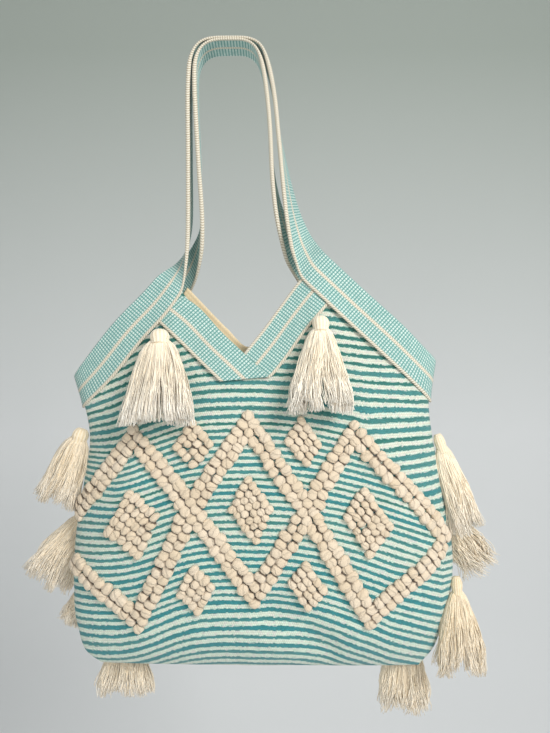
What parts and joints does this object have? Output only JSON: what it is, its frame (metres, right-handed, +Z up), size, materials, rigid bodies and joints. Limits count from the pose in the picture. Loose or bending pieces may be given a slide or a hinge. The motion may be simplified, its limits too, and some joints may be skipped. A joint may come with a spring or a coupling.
{
  "type": "woven cotton tote bag",
  "caption": "Soft striped cotton tote hanging by its webbing handles, with a V neck, diamond pattern of looped tufts and yarn tassels.",
  "frame": {"origin": "underside of the inner handle at the top of the loop, where the bag hangs", "axes": "+Z up, +X to the right as seen from the tufted front, +Y from the front to the back"},
  "size_m": [0.5349, 0.12, 0.7651],
  "materials": {
    "striped_cloth": "woven cotton in narrow teal and cream stripes",
    "webbing": "patterned cotton webbing with cream edges",
    "tan_tape": "plain woven tape",
    "tuft_yarn": "looped cotton yarn",
    "tassel_yarn": "loose cotton yarn"
  },
  "bodies": {
    "root": {"front_panel": "striped_cloth", "back_panel": "striped_cloth", "front_strap": "webbing", "back_strap": "webbing", "front_neck_band": "webbing", "back_neck_band": "webbing", "back_neck_facing": "tan_tape", "tuft_lattice": "tuft_yarn", "tuft_diamond_left": "tuft_yarn", "tuft_diamond_middle": "tuft_yarn", "tuft_diamond_right": "tuft_yarn", "tuft_notch_top_left": "tuft_yarn", "tuft_notch_top_right": "tuft_yarn", "tuft_notch_bottom_left": "tuft_yarn", "tuft_notch_bottom_right": "tuft_yarn", "tassel_front_left": "tassel_yarn", "tassel_front_right": "tassel_yarn", "tassel_left_1": "tassel_yarn", "tassel_left_2": "tassel_yarn", "tassel_left_3": "tassel_yarn", "tassel_left_4": "tassel_yarn", "tassel_right_1": "tassel_yarn", "tassel_right_2": "tassel_yarn", "tassel_right_3": "tassel_yarn", "tassel_right_4": "tassel_yarn"}
  },
  "joints": []
}
